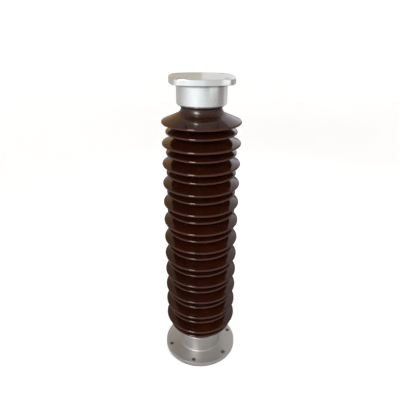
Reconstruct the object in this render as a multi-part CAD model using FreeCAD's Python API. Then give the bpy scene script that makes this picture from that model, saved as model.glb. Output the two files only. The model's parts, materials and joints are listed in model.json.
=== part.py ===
"""Outdoor station post insulator: a brown glazed porcelain body with alternating
large and small sheds, cemented at each end into a cast aluminium fitting.

Millimetres. The origin is the centre of the bottom mounting face and +Z runs up the axis.
Both ends are built alike, bottom end first, with heights counted from the mounting face of
the fitting; the top end's pieces are then turned over about the middle of the insulator.
"""
import FreeCAD, Part
import math
import os
from FreeCAD import Vector

# --- overall -------------------------------------------------------------------------------
total_height = 1222.5

# --- porcelain sheds -----------------------------------------------------------------------
large_shed_count = 12             # with a small shed under each
shed_pitch = 79.7                 # from one large shed to the next
top_rim_height = 1063.3           # rim of the topmost large shed
small_shed_drop = 36.6            # rim of a small shed below the large one above it
large_rim_top = 147.9             # large rim radius at the top shed ...
large_rim_bottom = 151.7          # ... and at the bottom shed: the body widens downwards
small_rim_ratio = 0.905           # small rim radius over the large one at the same height
shed_top_slope = 20.0             # degrees, water runs outwards
top_shed_slope = 23.5             # the topmost shed is a little steeper
shed_under_slope = 8.0            # degrees, rises inwards behind the drip edge
rim_thickness = 8.6
rim_round = 4.5
root_round_above = 12.0
root_round_below = 6.0

# --- porcelain core ------------------------------------------------------------------------
core_radius_top = 75.0
core_radius_bottom = 79.0
neck_round = 26.0                 # the sweep from the upper neck into the top shed
end_radius = 72.0                 # unglazed ends inside the fittings
end_chamfer = 3.0
shoulder_length = 6.0             # cone from the neck down to the unglazed end

# --- cemented joint, the same at both ends -------------------------------------------------
floor_thickness = 22.0            # metal behind the porcelain end
cushion_thickness = 4.0
sand_thickness = 1.5
cup_bore_radius = 82.0
key_groove_depth = 3.0
key_groove_width = 8.0
key_groove_pitch = 15.0
key_groove_count = 3
first_groove_height = 38.0
cement_to_mouth = 4.0             # the cement stops short of the cup's mouth
seal_length = 7.0                 # how far the bitumen bead runs along the neck
seal_skin = 1.0                   # thickness of the bead's far edge

# --- end fittings --------------------------------------------------------------------------
cup_radius = 91.5
mouth_round = 8.5
edge_round = 1.5
top_cup_depth = 98.0
top_plate_width = 235.0
top_plate_thickness = 20.0
top_plate_bow = 300.0             # radius of the plate's sides, which bow outwards a little
top_plate_corner = 45.0
bottom_cup_depth = 96.0
bottom_flange_radius = 160.0
bottom_flange_thickness = 20.0
hub_round = 8.0

# --- bolt holes ----------------------------------------------------------------------------
bolt_hole_radius = 9.0            # clearance for M16
top_bolt_circle = 225.0           # four holes, one in each corner of the plate
bottom_bolt_circle = 280.0
bottom_hole_count = 6
bottom_first_hole = 15.0          # degrees from +X: one pair lies on a diagonal of the plate

# --- worked out from the above -------------------------------------------------------------
bottom_rim_height = top_rim_height - (large_shed_count - 1) * shed_pitch
cushion_top = floor_thickness + cushion_thickness
axis = Vector(0, 0, 1)
middle = Vector(0, 0, total_height / 2)


def rounded_wire(corners):
    """Closed wire in the XZ plane through (radius, height, rounding) corners."""
    points = [Vector(r, 0, z) for r, z, rounding in corners]
    arcs = []
    for index, (r, z, rounding) in enumerate(corners):
        here = points[index]
        to_previous = points[index - 1].sub(here).normalize()
        to_next = points[(index + 1) % len(points)].sub(here).normalize()
        if rounding == 0:
            arcs.append((here, here, here))
            continue
        half_angle = to_previous.getAngle(to_next) / 2
        reach = rounding / math.tan(half_angle)
        bisector = to_previous.add(to_next).normalize()
        nearest = rounding / math.sin(half_angle) - rounding
        arcs.append((here + to_previous * reach, here + bisector * nearest, here + to_next * reach))
    edges = []
    for index, (start, through, end) in enumerate(arcs):
        if start != end:
            edges.append(Part.Arc(start, through, end).toShape())
        following = arcs[(index + 1) % len(arcs)][0]
        edges.append(Part.makeLine(end, following))
    return Part.Wire(edges)


def turned(corners):
    """Solid of revolution about the axis, from a cross-section's corners."""
    return Part.Face(rounded_wire(corners)).revolve(Vector(0, 0, 0), axis, 360)


def turned_over(shape):
    """The same piece at the top end."""
    flipped = shape.copy()
    flipped.rotate(middle, Vector(1, 0, 0), 180)
    return flipped


def between(low, high, height):
    """Value at a height, straight from the bottom large rim to the top one."""
    share = (height - bottom_rim_height) / (top_rim_height - bottom_rim_height)
    return low + (high - low) * share


def core_radius(height):
    return between(core_radius_bottom, core_radius_top, height)


def shed_outline(rim_height, rim_radius, slope_above, rounding_above):
    """Corners of one shed, from its root above the rim to its root below."""
    root = core_radius(rim_height)
    reach = rim_radius - root
    rim_top = rim_height + rim_thickness / 2
    rim_bottom = rim_height - rim_thickness / 2
    root_top = rim_top + reach * math.tan(math.radians(slope_above))
    root_bottom = rim_bottom + reach * math.tan(math.radians(shed_under_slope))
    return [
        (root, root_top, rounding_above),
        (rim_radius, rim_top, rim_round),
        (rim_radius, rim_bottom, rim_round),
        (root, root_bottom, root_round_below),
    ]


def porcelain_body():
    """Solid core with its sheds; both ends are plain cylinders for the cement."""
    top_mouth = total_height - top_cup_depth
    corners = [
        (0, total_height - cushion_top, 0),
        (end_radius - end_chamfer, total_height - cushion_top, 0),
        (end_radius, total_height - cushion_top - end_chamfer, 0),
        (end_radius, top_mouth, 0),
        (core_radius_top, top_mouth - shoulder_length, 0),
    ]
    for index in range(large_shed_count):
        height = top_rim_height - index * shed_pitch
        rim = between(large_rim_bottom, large_rim_top, height)
        topmost = index == 0
        slope = top_shed_slope if topmost else shed_top_slope
        rounding = neck_round if topmost else root_round_above
        corners += shed_outline(height, rim, slope, rounding)
        height -= small_shed_drop
        rim = small_rim_ratio * between(large_rim_bottom, large_rim_top, height)
        corners += shed_outline(height, rim, shed_top_slope, root_round_above)
    corners += [
        (core_radius_bottom, bottom_cup_depth + seal_length, 0),
        (core_radius_bottom, bottom_cup_depth + shoulder_length, 0),
        (end_radius, bottom_cup_depth, 0),
        (end_radius, cushion_top + end_chamfer, 0),
        (end_radius - end_chamfer, cushion_top, 0),
        (0, cushion_top, 0),
    ]
    return turned(corners)


def cup_bore(depth):
    """Corners up the cup's inner wall, with the grooves that key the cement."""
    corners = [(cup_bore_radius, floor_thickness, 0)]
    for index in range(key_groove_count):
        low = first_groove_height + index * key_groove_pitch
        high = low + key_groove_width
        corners += [
            (cup_bore_radius, low, 0),
            (cup_bore_radius + key_groove_depth, low + key_groove_depth, 0),
            (cup_bore_radius + key_groove_depth, high - key_groove_depth, 0),
            (cup_bore_radius, high, 0),
        ]
    return corners + [(cup_bore_radius, depth, 0)]


def cement(depth):
    """Cement sleeve: keyed into the cup outside, on the sanded porcelain inside."""
    bore = [corner for corner in cup_bore(depth) if floor_thickness < corner[1] < depth]
    return turned(
        [(end_radius - end_chamfer, cushion_top, 0), (cup_bore_radius, cushion_top, 0)]
        + bore
        + [
            (cup_bore_radius, depth - cement_to_mouth, 0),
            (end_radius + sand_thickness, depth - cement_to_mouth, 0),
            (end_radius + sand_thickness, cushion_top + end_chamfer, 0),
            (end_radius, cushion_top + end_chamfer, 0),
        ]
    )


def sand_band(depth):
    """Layer of porcelain grit fired onto the unglazed end, for the cement to grip."""
    low = cushion_top + end_chamfer
    high = depth - cement_to_mouth
    outside = end_radius + sand_thickness
    return turned([(end_radius, low, 0), (outside, low, 0), (outside, high, 0), (end_radius, high, 0)])


def seal(depth, neck_radius):
    """Bitumen bead that fills the cup's mouth and slopes onto the glazed neck."""
    far_edge = depth + seal_length
    return turned([
        (end_radius, depth - cement_to_mouth, 0),
        (cup_bore_radius, depth - cement_to_mouth, 0),
        (cup_bore_radius, depth, 0),
        (neck_radius + seal_skin, far_edge, 0),
        (neck_radius, far_edge, 0),
        (neck_radius, depth + shoulder_length, 0),
        (end_radius, depth, 0),
    ])


def cushion():
    """Soft disc that keeps the porcelain end off the metal."""
    disc = Part.makeCylinder(cup_bore_radius, cushion_thickness)
    disc.translate(Vector(0, 0, floor_thickness))
    return disc


def bolt_holes(circle, count, first_angle, thickness):
    """Cutters for a ring of bolt holes through a plate on the mounting face."""
    cutters = []
    for index in range(count):
        angle = math.radians(first_angle + index * 360 / count)
        centre = Vector(circle / 2 * math.cos(angle), circle / 2 * math.sin(angle), 0)
        cutters.append(Part.makeCylinder(bolt_hole_radius, thickness, centre, axis))
    return Part.makeCompound(cutters)


def bottom_flange():
    """Round flange and hub in one casting, with the hub's cup open upwards."""
    casting = turned(
        [
            (0, floor_thickness, 0),
            (0, 0, 0),
            (bottom_flange_radius, 0, edge_round),
            (bottom_flange_radius, bottom_flange_thickness, edge_round),
            (cup_radius, bottom_flange_thickness, hub_round),
            (cup_radius, bottom_cup_depth, mouth_round),
        ]
        + cup_bore(bottom_cup_depth)[::-1]
    )
    holes = bolt_holes(
        bottom_bolt_circle, bottom_hole_count, bottom_first_hole, bottom_flange_thickness)
    return casting.cut(holes)


def plate_outline():
    """Square with sides that bow outwards, drawn on the mounting face."""
    half = top_plate_width / 2
    inset = top_plate_bow - half
    corner = (math.sqrt(2 * top_plate_bow ** 2 - inset ** 2) - inset) / 2
    sides = []
    for quarter in range(4):
        bow = Part.Arc(Vector(corner, -corner, 0), Vector(half, 0, 0), Vector(corner, corner, 0))
        side = bow.toShape()
        side.rotate(Vector(0, 0, 0), axis, 90 * quarter)
        sides.append(side)
    return Part.Wire(sides)


def top_flange():
    """Square plate and collar in one casting, with the collar's cup open downwards."""
    plate = Part.Face(plate_outline()).extrude(Vector(0, 0, top_plate_thickness))
    corners = [edge for edge in plate.Edges if abs(edge.tangentAt(edge.FirstParameter).z) > 0.5]
    plate = plate.makeFillet(top_plate_corner, corners)
    rims = [edge for face in plate.Faces if abs(face.normalAt(0, 0).z) > 0.5 for edge in face.Edges]
    plate = plate.makeFillet(edge_round, rims)
    collar = turned(
        [
            (0, floor_thickness, 0),
            (0, edge_round, 0),
            (cup_radius, edge_round, 0),
            (cup_radius, top_cup_depth, mouth_round),
        ]
        + cup_bore(top_cup_depth)[::-1]
    )
    holes = bolt_holes(top_bolt_circle, 4, 45, top_plate_thickness)
    return turned_over(plate.fuse(collar).removeSplitter().cut(holes))


pieces = {
    "porcelain_body": porcelain_body(),
    "bottom_flange": bottom_flange(),
    "bottom_cushion": cushion(),
    "bottom_sand_band": sand_band(bottom_cup_depth),
    "bottom_cement": cement(bottom_cup_depth),
    "bottom_seal": seal(bottom_cup_depth, core_radius_bottom),
    "top_flange": top_flange(),
    "top_cushion": turned_over(cushion()),
    "top_sand_band": turned_over(sand_band(top_cup_depth)),
    "top_cement": turned_over(cement(top_cup_depth)),
    "top_seal": turned_over(seal(top_cup_depth, core_radius_top)),
}

os.makedirs("parts", exist_ok=True)
for name, shape in pieces.items():
    shape.exportStep("parts/" + name + ".step")
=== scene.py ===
"""Looks for the porcelain post insulator: glaze, cast metal, bitumen and a plain white studio.

Metres, in the CAD's own frame. The CAD nodes keep their shapes and get procedural materials.
"""
import json
import math

import bpy
from mathutils import Matrix, Vector

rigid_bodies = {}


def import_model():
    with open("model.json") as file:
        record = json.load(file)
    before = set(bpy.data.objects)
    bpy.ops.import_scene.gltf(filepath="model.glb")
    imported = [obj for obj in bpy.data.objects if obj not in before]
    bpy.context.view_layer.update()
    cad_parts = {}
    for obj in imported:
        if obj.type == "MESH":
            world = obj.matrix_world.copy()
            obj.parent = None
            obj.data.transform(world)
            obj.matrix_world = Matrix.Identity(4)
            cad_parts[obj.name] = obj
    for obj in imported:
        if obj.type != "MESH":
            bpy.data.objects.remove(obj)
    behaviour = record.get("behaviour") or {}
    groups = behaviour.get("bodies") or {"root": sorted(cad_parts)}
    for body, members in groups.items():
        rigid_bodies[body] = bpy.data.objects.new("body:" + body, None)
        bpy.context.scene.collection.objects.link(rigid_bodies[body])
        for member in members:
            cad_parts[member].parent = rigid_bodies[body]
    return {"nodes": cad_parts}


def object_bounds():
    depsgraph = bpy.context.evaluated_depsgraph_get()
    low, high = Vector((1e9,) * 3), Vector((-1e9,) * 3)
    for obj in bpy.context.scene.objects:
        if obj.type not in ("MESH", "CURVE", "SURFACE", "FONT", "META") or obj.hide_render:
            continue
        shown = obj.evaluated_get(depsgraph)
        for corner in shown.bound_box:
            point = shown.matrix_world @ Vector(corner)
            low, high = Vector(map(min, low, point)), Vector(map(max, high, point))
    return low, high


# --- shed layout, for the glaze that thins on the rims ----------------------------------------
SHED_PITCH = 0.0797
BOTTOM_RIM_HEIGHT = 0.1866
BOTTOM_RIM_RADIUS = 0.1517
TOP_RIM_HEIGHT = 1.0633
TOP_RIM_RADIUS = 0.1479
SMALL_RIM_RATIO = 0.905
SMALL_RIM_PHASE = 0.541           # height of a small rim above a large one, over the pitch

# --- places where the looks change ------------------------------------------------------------
PLATE_THICKNESS = 0.02
COLLAR_RADIUS = 0.0915
DUST_FOOT = 1.078                 # dust on the topmost shed starts here and goes up the neck

# --- camera -----------------------------------------------------------------------------------
CAMERA_TURN = -3.4                # degrees: it stands a little to the left of the plate's front
CAMERA_DISTANCE = 1.3474
CAMERA_HEIGHT = 1.3661
CAMERA_PITCH = 24.77              # degrees below the horizon
CAMERA_ROLL = 0.38
CAMERA_LENS = 33.2                # mm on a 36 mm sensor
CAMERA_SHIFT = (-0.0026, 0.0012)

# --- studio -----------------------------------------------------------------------------------
COVE_FLAT_RADIUS = 1.2            # the smooth shading of the bend stops short of this
COVE_FLOOR_RADIUS = 3.2
COVE_BEND_RADIUS = 1.2
COVE_BEND_STEPS = 12
COVE_HEIGHT = 3.4
NEAR_AXIS = 0.0001                # swept surfaces start this far from the axis
SHADE_DISC_SPACE = 0.001                 # gap under the base flange for a dark disc of painted shade that only its holes show
SHADE_DISC_RADIUS = 0.156
CARD_RADIUS = 2.2
CARD_SPLIT = 1.25                 # height where the low ring of cards ends and the high one starts
CARD_TOP = 3.0
LIGHT_DISTANCE = 2.0
LIGHT_AIM_HEIGHT = 0.9
EDGE_CARD_RADIUS = 2.1
EDGE_CARD_HEIGHTS = (0.94, 1.12)  # where the edge of the top plate looks
# What the gloss sees all round, low and high: (degrees to the right of the camera, colour).
LOW_CARDS = [
    (-180, (0.50, 0.50, 0.50)),
    (-140, (0.44, 0.43, 0.42)),
    (-108, (0.43, 0.42, 0.41)),
    (-86, (0.60, 0.60, 0.60)),
    (-66, (0.82, 0.85, 0.87)),
    (-44, (0.98, 1.02, 1.04)),
    (-24, (0.98, 1.03, 1.05)),
    (-8, (0.84, 0.88, 0.90)),
    (14, (0.70, 0.72, 0.73)),
    (50, (0.42, 0.42, 0.40)),
    (80, (0.24, 0.22, 0.21)),
    (104, (0.22, 0.19, 0.19)),
    (112, (0.38, 0.37, 0.36)),
    (122, (0.60, 0.60, 0.60)),
    (180, (0.55, 0.55, 0.55)),
]
HIGH_CARDS = [
    (-180, (0.50, 0.46, 0.40)),
    (-170.8, (0.50, 0.45, 0.38)),
    (-169.6, (0.78, 0.46, 0.23)),
    (-162, (0.76, 0.45, 0.22)),
    (-150, (0.50, 0.33, 0.20)),
    (-120, (0.42, 0.33, 0.25)),
    (-60, (0.60, 0.60, 0.60)),
    (0, (0.60, 0.60, 0.60)),
    (60, (0.50, 0.50, 0.50)),
    (120, (0.60, 0.58, 0.60)),
    (150, (0.78, 0.75, 0.78)),
    (158, (1.25, 1.16, 1.23)),
    (170.9, (1.25, 1.17, 1.25)),
    (171.9, (0.72, 0.72, 0.70)),
    (180, (0.74, 0.74, 0.72)),
]
# Cards that only the plate's edge is at the height to see: (from, to, colour), degrees as above.
EDGE_CARDS = [
    (-40, -19, (0.42, 0.43, 0.44)),
    (9, 32, (0.38, 0.38, 0.38)),
    (34, 74, (1.25, 1.30, 1.32)),
    (97, 179, (0.26, 0.26, 0.26)),
]
FLOOR_CARD_HEIGHT = -0.002
FLOOR_CARD_COLOUR = (0.29, 0.29, 0.28)
CEILING_COLOUR = (0.32, 0.30, 0.28)
# Softboxes: (name, degrees as above, height, size, watts, colour, the surfaces that see it).
LIGHTS = [
    ("window", -29, 1.9, (0.62, 1.3), 48, (1.0, 0.97, 0.96), "gloss"),
    ("key", -31, 2.0, (1.0, 1.2), 30, (1.0, 0.98, 0.97), "matt"),
    ("fill", 60, 2.2, (1.4, 1.4), 22, (0.98, 0.99, 1.0), "matt"),
    ("back", 170, 2.4, (1.4, 1.4), 22, (1.0, 1.0, 1.0), "matt"),
]


def bearing(degrees):
    """World angle, in radians, of a direction so many degrees to the right of the camera."""
    return math.radians(270 + CAMERA_TURN + degrees)


# --- node helpers -----------------------------------------------------------------------------
class Graph:
    """A material's nodes, with one short call for each kind that the looks use."""

    def __init__(self, name):
        self.material = bpy.data.materials.new(name)
        self.material.use_nodes = True
        self.nodes = self.material.node_tree.nodes
        self.links = self.material.node_tree.links
        self.shader = self.nodes["Principled BSDF"]
        coordinates = self.nodes.new("ShaderNodeTexCoord")
        self.place = coordinates.outputs["Object"]
        self.normal = coordinates.outputs["Normal"]
        split = self.split(self.place)
        self.height = split.outputs["Z"]
        flat = self.math("MULTIPLY", split.outputs["X"], split.outputs["X"])
        flat = self.math("ADD", flat, self.math("MULTIPLY", split.outputs["Y"], split.outputs["Y"]))
        self.radius = self.math("SQRT", flat)

    def feed(self, socket, value):
        """Links an output to the socket, or sets the socket's own value."""
        if isinstance(value, bpy.types.NodeSocket):
            self.links.new(value, socket)
        else:
            socket.default_value = value

    def split(self, vector):
        node = self.nodes.new("ShaderNodeSeparateXYZ")
        self.links.new(vector, node.inputs[0])
        return node

    def join(self, x, y, z):
        node = self.nodes.new("ShaderNodeCombineXYZ")
        for socket, value in zip(node.inputs, (x, y, z)):
            self.feed(socket, value)
        return node.outputs[0]

    def math(self, operation, first, second=0.0):
        node = self.nodes.new("ShaderNodeMath")
        node.operation = operation
        self.feed(node.inputs[0], first)
        self.feed(node.inputs[1], second)
        return node.outputs[0]

    def stretch(self, vector, factors):
        node = self.nodes.new("ShaderNodeVectorMath")
        node.operation = "MULTIPLY"
        self.links.new(vector, node.inputs[0])
        node.inputs[1].default_value = factors
        return node.outputs[0]

    def noise(self, vector, scale, detail=3.0, roughness=0.5):
        node = self.nodes.new("ShaderNodeTexNoise")
        self.links.new(vector, node.inputs["Vector"])
        node.inputs["Scale"].default_value = scale
        node.inputs["Detail"].default_value = detail
        node.inputs["Roughness"].default_value = roughness
        return node.outputs["Fac"]

    def cells(self, vector, scale):
        node = self.nodes.new("ShaderNodeTexVoronoi")
        self.links.new(vector, node.inputs["Vector"])
        node.inputs["Scale"].default_value = scale
        return node.outputs["Distance"]

    def ramp(self, value, low, high, to_low=0.0, to_high=1.0):
        """Value mapped smoothly from low..high to to_low..to_high, and held beyond."""
        node = self.nodes.new("ShaderNodeMapRange")
        node.interpolation_type = "SMOOTHSTEP"
        self.feed(node.inputs["Value"], value)
        node.inputs["From Min"].default_value = low
        node.inputs["From Max"].default_value = high
        node.inputs["To Min"].default_value = to_low
        node.inputs["To Max"].default_value = to_high
        return node.outputs["Result"]

    def blend(self, share, first, second):
        """Colour between two colours."""
        node = self.nodes.new("ShaderNodeMix")
        node.data_type = "RGBA"
        self.feed(node.inputs["Factor"], share)
        for socket, colour in ((node.inputs["A"], first), (node.inputs["B"], second)):
            self.feed(socket, colour if isinstance(colour, bpy.types.NodeSocket) else (*colour, 1))
        return node.outputs["Result"]

    def bump(self, height, depth, strength=1.0, below=None):
        """Surface relief of that depth, in metres, on top of an earlier relief."""
        node = self.nodes.new("ShaderNodeBump")
        self.feed(node.inputs["Height"], height)
        node.inputs["Distance"].default_value = depth
        node.inputs["Strength"].default_value = strength
        if below is not None:
            self.links.new(below, node.inputs["Normal"])
        return node.outputs["Normal"]

    def finish(self, colour, roughness, relief, **constants):
        self.links.new(colour, self.shader.inputs["Base Color"])
        self.feed(self.shader.inputs["Roughness"], roughness)
        self.links.new(relief, self.shader.inputs["Normal"])
        for name, value in constants.items():
            self.shader.inputs[name.replace("_", " ")].default_value = value
        return self.material


# --- materials --------------------------------------------------------------------------------
def rim_share(graph):
    """1 on the rounded rims of the sheds, large and small, and 0 elsewhere."""
    slope = (TOP_RIM_RADIUS - BOTTOM_RIM_RADIUS) / (TOP_RIM_HEIGHT - BOTTOM_RIM_HEIGHT)
    above = graph.math("SUBTRACT", graph.height, BOTTOM_RIM_HEIGHT)
    rim = graph.math("ADD", graph.math("MULTIPLY", above, slope), BOTTOM_RIM_RADIUS)
    reach = graph.math("DIVIDE", graph.radius, rim)
    phase = graph.math("FRACT", graph.math("ADD", graph.math("DIVIDE", above, SHED_PITCH), 1.0))
    off_small = graph.math("ABSOLUTE", graph.math("SUBTRACT", phase, SMALL_RIM_PHASE))
    large = graph.ramp(reach, 0.955, 0.995)
    small = graph.ramp(reach, SMALL_RIM_RATIO * 0.955, SMALL_RIM_RATIO * 0.995)
    small = graph.math("MULTIPLY", small, graph.ramp(off_small, 0.06, 0.10, 1.0, 0.0))
    return graph.math("MAXIMUM", large, small)


def glazed_porcelain():
    """Dark red-brown glaze: pooled and streaked, redder on the rims, dusty on the upper neck."""
    graph = Graph("glazed_porcelain")
    runs = graph.noise(graph.stretch(graph.place, (26, 26, 5)), 1.0, 4.0)
    clouds = graph.noise(graph.place, 9.0, 2.0)
    body = graph.blend(graph.ramp(runs, 0.3, 0.75), (0.019, 0.0043, 0.0015), (0.029, 0.0064, 0.0022))
    body = graph.blend(graph.ramp(clouds, 0.4, 0.75, 0.0, 0.5), body, (0.022, 0.0042, 0.0018))
    body = graph.blend(graph.math("MULTIPLY", rim_share(graph), 0.6), body, (0.050, 0.0125, 0.0060))
    gloss = graph.ramp(graph.noise(graph.place, 40.0, 3.0), 0.3, 0.7, 0.07, 0.12)
    specks = graph.ramp(graph.noise(graph.place, 260.0, 2.0), 0.42, 0.58, 0.10, 0.26)
    dust = graph.math("MULTIPLY", specks, graph.ramp(graph.height, DUST_FOOT, DUST_FOOT + 0.015))
    gloss = graph.math("ADD", gloss, dust)
    peel = graph.bump(graph.noise(graph.place, 25.0, 1.0), 0.0003, 0.1)
    return graph.finish(body, gloss, peel)


def turned_lines(graph, pitch):
    """Fine irregular tool marks: rings on flat faces and hoops on upright ones."""
    upright = graph.math("ABSOLUTE", graph.split(graph.normal).outputs["Z"])
    on_flat = graph.math("MULTIPLY", graph.radius, graph.ramp(upright, 0.4, 0.8))
    on_wall = graph.math("MULTIPLY", graph.height, graph.ramp(upright, 0.4, 0.8, 1.0, 0.0))
    along = graph.math("DIVIDE", graph.math("ADD", on_flat, on_wall), pitch)
    return graph.noise(graph.join(along, 0.0, 0.0), 1.0, 3.0, 0.6)


def machined_casting(plate_underside):
    """Aluminium casting, turned bright, with a faint haze and painted shade round the collar under the
    plate.
    """
    graph = Graph("machined_aluminium")
    lines = turned_lines(graph, 0.0016)
    haze = graph.noise(graph.place, 14.0, 3.0)
    metal = graph.blend(graph.ramp(haze, 0.35, 0.7), (0.88, 0.89, 0.89), (0.82, 0.82, 0.81))
    metal = graph.blend(graph.math("MULTIPLY", lines, 0.2), metal, (0.74, 0.74, 0.74))
    # Painted shade on the collar under the plate's overhang: it darkens upward from 13 mm below the
    # plate's underside, only close to the collar's surface and not on the plate.
    corner = graph.ramp(graph.height, plate_underside - 0.013, plate_underside - 0.005)
    near = graph.ramp(graph.radius, COLLAR_RADIUS + 0.0015, COLLAR_RADIUS + 0.0045, 1.0, 0.0)
    corner = graph.math("MULTIPLY", corner, near)
    below = graph.ramp(graph.height, plate_underside + 0.001, plate_underside + 0.002, 1.0, 0.0)
    corner = graph.math("MULTIPLY", corner, below)
    metal = graph.blend(graph.math("MULTIPLY", corner, 0.75), metal, (0.16, 0.15, 0.14))
    gloss = graph.ramp(haze, 0.3, 0.75, 0.17, 0.21)
    relief = graph.bump(lines, 0.0001, 0.2)
    return graph.finish(metal, gloss, relief, Metallic=0.9)


def sand_casting():
    """The same metal left as it came from the sand mould and skimmed on the lathe: duller."""
    graph = Graph("cast_aluminium")
    lines = turned_lines(graph, 0.0022)
    grain = graph.noise(graph.place, 700.0, 3.0, 0.7)
    blotches = graph.noise(graph.place, 18.0, 5.0, 0.6)
    metal = graph.blend(graph.ramp(blotches, 0.3, 0.7), (0.47, 0.455, 0.435), (0.41, 0.395, 0.378))
    metal = graph.blend(graph.math("MULTIPLY", grain, 0.3), metal, (0.34, 0.33, 0.32))
    gloss = graph.ramp(blotches, 0.3, 0.7, 0.36, 0.46)
    relief = graph.bump(grain, 0.0003, 0.3)
    relief = graph.bump(lines, 0.0002, 0.25, relief)
    return graph.finish(metal, gloss, relief, Metallic=0.6)


def bitumen():
    """Black bitumen brushed round the joint: satin, uneven, with faint brush rings."""
    graph = Graph("bitumen")
    lumps = graph.noise(graph.place, 70.0, 3.0)
    brush = graph.noise(graph.stretch(graph.place, (30, 30, 900)), 1.0, 2.0)
    black = graph.blend(graph.ramp(lumps, 0.3, 0.7), (0.008, 0.010, 0.013), (0.018, 0.022, 0.027))
    gloss = graph.ramp(lumps, 0.3, 0.7, 0.32, 0.48)
    relief = graph.bump(lumps, 0.001, 0.5)
    relief = graph.bump(brush, 0.0003, 0.4, relief)
    return graph.finish(black, gloss, relief)


def cement():
    """Portland cement: pale grey with fine sand and air holes, the holes darkened with painted shade."""
    graph = Graph("cement")
    patches = graph.noise(graph.place, 30.0, 5.0)
    sand = graph.noise(graph.place, 900.0, 2.0)
    holes = graph.ramp(graph.cells(graph.place, 180.0), 0.06, 0.18, 1.0, 0.0)
    grey = graph.blend(graph.ramp(patches, 0.3, 0.7), (0.36, 0.345, 0.32), (0.26, 0.25, 0.235))
    grey = graph.blend(graph.math("MULTIPLY", sand, 0.3), grey, (0.45, 0.43, 0.40))
    # Painted shade: the air holes are darkened in colour as well as sunk by the bump below.
    grey = graph.blend(graph.math("MULTIPLY", holes, 0.5), grey, (0.12, 0.11, 0.10))
    relief = graph.bump(sand, 0.0003, 0.5)
    relief = graph.bump(graph.math("SUBTRACT", 1.0, holes), 0.001, 0.5, relief)
    return graph.finish(grey, graph.ramp(patches, 0.3, 0.7, 0.8, 0.95), relief)


def porcelain_sand():
    """Coarse porcelain grit fired onto the body: pale, sharp grains with dark gaps."""
    graph = Graph("porcelain_sand")
    grains = graph.cells(graph.place, 650.0)
    tone = graph.noise(graph.place, 650.0, 1.0)
    buff = graph.blend(graph.ramp(tone, 0.35, 0.65), (0.55, 0.47, 0.37), (0.36, 0.27, 0.19))
    buff = graph.blend(graph.ramp(grains, 0.35, 0.6), buff, (0.14, 0.09, 0.06))
    relief = graph.bump(graph.math("SUBTRACT", 1.0, grains), 0.0012, 0.8)
    return graph.finish(buff, graph.ramp(tone, 0.3, 0.7, 0.7, 0.9), relief)


def cushion_board():
    """Bitumen-soaked board: matt near-black with short fibres."""
    graph = Graph("cushion_board")
    fibres = graph.noise(graph.stretch(graph.place, (700, 90, 90)), 1.0, 4.0)
    stains = graph.noise(graph.place, 25.0, 3.0)
    dark = graph.blend(graph.ramp(fibres, 0.3, 0.7), (0.020, 0.016, 0.013), (0.055, 0.044, 0.035))
    dark = graph.blend(graph.ramp(stains, 0.5, 0.8, 0.0, 0.5), dark, (0.010, 0.009, 0.009))
    relief = graph.bump(fibres, 0.0005, 0.5)
    return graph.finish(dark, graph.ramp(stains, 0.3, 0.7, 0.6, 0.85), relief)


# --- studio -----------------------------------------------------------------------------------
def spun(name, profile, steps=96, start=0.0, sweep=2 * math.pi):
    """Surface swept about the axis from (radius, height) points."""
    vertices = []
    closed = sweep == 2 * math.pi
    columns = steps if closed else steps + 1
    for column in range(columns):
        angle = start + sweep * column / steps
        vertices += [(r * math.cos(angle), r * math.sin(angle), z) for r, z in profile]
    rows = len(profile)
    faces = []
    for column in range(steps):
        here = column * rows
        there = (column + 1) % columns * rows
        for row in range(rows - 1):
            faces.append((here + row, there + row, there + row + 1, here + row + 1))
    mesh = bpy.data.meshes.new(name)
    mesh.from_pydata(vertices, [], faces)
    mesh.shade_smooth()
    surface = bpy.data.objects.new(name, mesh)
    bpy.context.collection.objects.link(surface)
    return surface


def white_cove():
    """Pale floor that bends up into a wall all round."""
    centre = COVE_FLOOR_RADIUS, COVE_BEND_RADIUS - SHADE_DISC_SPACE
    profile = [(NEAR_AXIS, -SHADE_DISC_SPACE), (COVE_FLAT_RADIUS, -SHADE_DISC_SPACE), (COVE_FLOOR_RADIUS, -SHADE_DISC_SPACE)]
    for step in range(1, COVE_BEND_STEPS + 1):
        angle = math.radians(-90 + step * 90 / COVE_BEND_STEPS)
        profile.append((
            centre[0] + COVE_BEND_RADIUS * math.cos(angle),
            centre[1] + COVE_BEND_RADIUS * math.sin(angle),
        ))
    profile.append((COVE_FLOOR_RADIUS + COVE_BEND_RADIUS, COVE_HEIGHT))
    cove = spun("cove", profile)
    graph = Graph("cove_paper")
    tone = graph.noise(graph.place, 3.0, 3.0)
    paper = graph.blend(graph.ramp(tone, 0.3, 0.7), (0.86, 0.86, 0.86), (0.84, 0.84, 0.84))
    relief = graph.bump(graph.noise(graph.place, 300.0, 2.0), 0.0002, 0.1)
    material = graph.finish(paper, 0.9, relief, Emission_Color=(1, 1, 1, 1), Emission_Strength=0.32)
    material.cycles.emission_sampling = "NONE"
    cove.data.materials.append(material)
    cove.visible_glossy = False


def shade_disc():
    """Dark disc of painted shade between the base flange and the floor, that only the flange's bolt
    holes show.
    """
    disc = spun("shade_disc", [(NEAR_AXIS, -SHADE_DISC_SPACE / 2), (SHADE_DISC_RADIUS, -SHADE_DISC_SPACE / 2)])
    graph = Graph("painted_shade_disc")
    grain = graph.noise(graph.place, 400.0, 3.0)
    # Painted shade: near-black, so that the bolt holes of the base flange look dark inside.
    shade_colour = graph.blend(grain, (0.012, 0.012, 0.012), (0.022, 0.021, 0.020))
    disc.data.materials.append(graph.finish(shade_colour, 0.8, graph.bump(grain, 0.0003, 0.5)))


def gloss_only(card):
    """Hides a card from everything except reflections."""
    card.visible_camera = False
    card.visible_diffuse = False
    card.visible_shadow = False
    card.visible_transmission = False


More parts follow.
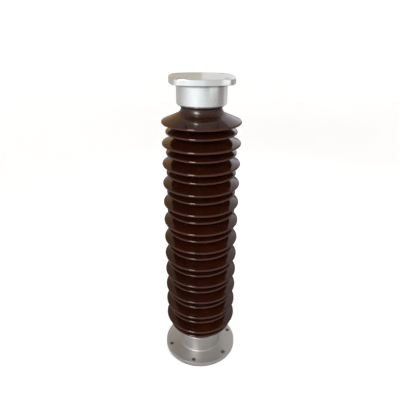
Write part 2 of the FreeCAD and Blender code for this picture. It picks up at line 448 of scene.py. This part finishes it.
def ring_of_cards(name, low, high, cards):
    """Light and dark cards all round, so that metal and glaze have something to reflect."""
    ring = spun(name, [(CARD_RADIUS, low), (CARD_RADIUS, high)])
    material = bpy.data.materials.new(name)
    material.use_nodes = True
    nodes = material.node_tree.nodes
    links = material.node_tree.links
    nodes.clear()
    turn = nodes.new("ShaderNodeVectorRotate")
    turn.rotation_type = "Z_AXIS"
    turn.inputs["Angle"].default_value = -bearing(0)
    links.new(nodes.new("ShaderNodeTexCoord").outputs["Object"], turn.inputs["Vector"])
    gradient = nodes.new("ShaderNodeTexGradient")
    gradient.gradient_type = "RADIAL"
    links.new(turn.outputs["Vector"], gradient.inputs["Vector"])
    ramp = nodes.new("ShaderNodeValToRGB")
    stops = ramp.color_ramp.elements
    while len(stops) < len(cards):
        stops.new(0.5)
    for stop, (degrees, colour) in zip(stops, cards):
        stop.position = (degrees + 180) / 360
        stop.color = (*colour, 1)
    links.new(gradient.outputs["Fac"], ramp.inputs["Fac"])
    glow = nodes.new("ShaderNodeEmission")
    links.new(ramp.outputs["Color"], glow.inputs["Color"])
    output = nodes.new("ShaderNodeOutputMaterial")
    links.new(glow.outputs["Emission"], output.inputs["Surface"])
    material.cycles.emission_sampling = "NONE"
    ring.data.materials.append(material)
    gloss_only(ring)


def plain_card(name, profile, colour, start=0.0, sweep=2 * math.pi):
    """One evenly lit card that only reflections see."""
    card = spun(name, profile, 24, start, sweep)
    material = bpy.data.materials.new(name)
    material.use_nodes = True
    shader = material.node_tree.nodes["Principled BSDF"]
    shader.inputs["Base Color"].default_value = (0, 0, 0, 1)
    shader.inputs["Emission Color"].default_value = (*colour, 1)
    shader.inputs["Emission Strength"].default_value = 1.0
    material.cycles.emission_sampling = "NONE"
    card.data.materials.append(material)
    gloss_only(card)


def soft_light(name, degrees, height, size, power, colour, seen):
    """Softbox aimed at the insulator; reflections see some of them, matt surfaces the others."""
    data = bpy.data.lights.new(name, "AREA")
    data.shape = "RECTANGLE"
    data.size, data.size_y = size
    data.energy = power
    data.color = colour
    light = bpy.data.objects.new(name, data)
    angle = bearing(degrees)
    place = Vector((LIGHT_DISTANCE * math.cos(angle), LIGHT_DISTANCE * math.sin(angle), height))
    aim = Vector((0, 0, LIGHT_AIM_HEIGHT)) - place
    light.matrix_world = Matrix.Translation(place) @ aim.to_track_quat("-Z", "Y").to_matrix().to_4x4()
    light.visible_camera = False
    light.visible_glossy = seen == "gloss"
    light.visible_diffuse = seen != "gloss"
    bpy.context.collection.objects.link(light)


def ceiling():
    """Even light from above the cove."""
    world = bpy.data.worlds.new("ceiling")
    world.use_nodes = True
    background = world.node_tree.nodes["Background"]
    background.inputs["Color"].default_value = (*CEILING_COLOUR, 1)
    bpy.context.scene.world = world


def camera():
    """Stands above the top plate and looks down along the insulator."""
    data = bpy.data.cameras.new("camera")
    data.sensor_width = 36
    data.lens = CAMERA_LENS
    data.shift_x, data.shift_y = CAMERA_SHIFT
    viewpoint = bpy.data.objects.new("camera", data)
    angle = bearing(0)
    place = Vector((CAMERA_DISTANCE * math.cos(angle), CAMERA_DISTANCE * math.sin(angle), CAMERA_HEIGHT))
    turn = Matrix.Rotation(math.radians(CAMERA_TURN), 4, "Z")
    tilt = Matrix.Rotation(math.radians(90 - CAMERA_PITCH), 4, "X")
    roll = Matrix.Rotation(math.radians(CAMERA_ROLL), 4, "Z")
    viewpoint.matrix_world = Matrix.Translation(place) @ turn @ tilt @ roll
    bpy.context.collection.objects.link(viewpoint)
    bpy.context.scene.camera = viewpoint


# --- scene ------------------------------------------------------------------------------------
for leftover in list(bpy.data.objects):
    bpy.data.objects.remove(leftover)
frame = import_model()
cad_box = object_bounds()

cement_look = cement()
sand_look = porcelain_sand()
board_look = cushion_board()
bitumen_look = bitumen()
looks = {
    "porcelain_body": glazed_porcelain(),
    "top_flange": machined_casting(cad_box[1][2] - PLATE_THICKNESS),
    "bottom_flange": sand_casting(),
    "top_seal": bitumen_look,
    "bottom_seal": bitumen_look,
    "top_cement": cement_look,
    "bottom_cement": cement_look,
    "top_sand_band": sand_look,
    "bottom_sand_band": sand_look,
    "top_cushion": board_look,
    "bottom_cushion": board_look,
}
for name, look in looks.items():
    for index in range(len(frame["nodes"][name].material_slots)):
        frame["nodes"][name].material_slots[index].material = look

white_cove()
shade_disc()
ring_of_cards("low_cards", 0.0, CARD_SPLIT, LOW_CARDS)
ring_of_cards("high_cards", CARD_SPLIT, CARD_TOP, HIGH_CARDS)
ground = [(NEAR_AXIS, FLOOR_CARD_HEIGHT), (CARD_RADIUS, FLOOR_CARD_HEIGHT)]
plain_card("floor_card", ground, FLOOR_CARD_COLOUR)
edge = [(EDGE_CARD_RADIUS, height) for height in EDGE_CARD_HEIGHTS]
for first, last, colour in EDGE_CARDS:
    plain_card("edge_card", edge, colour, bearing(first), math.radians(last - first))
ceiling()
for light in LIGHTS:
    soft_light(*light)
camera()
bpy.context.scene.view_settings.view_transform = "Standard"
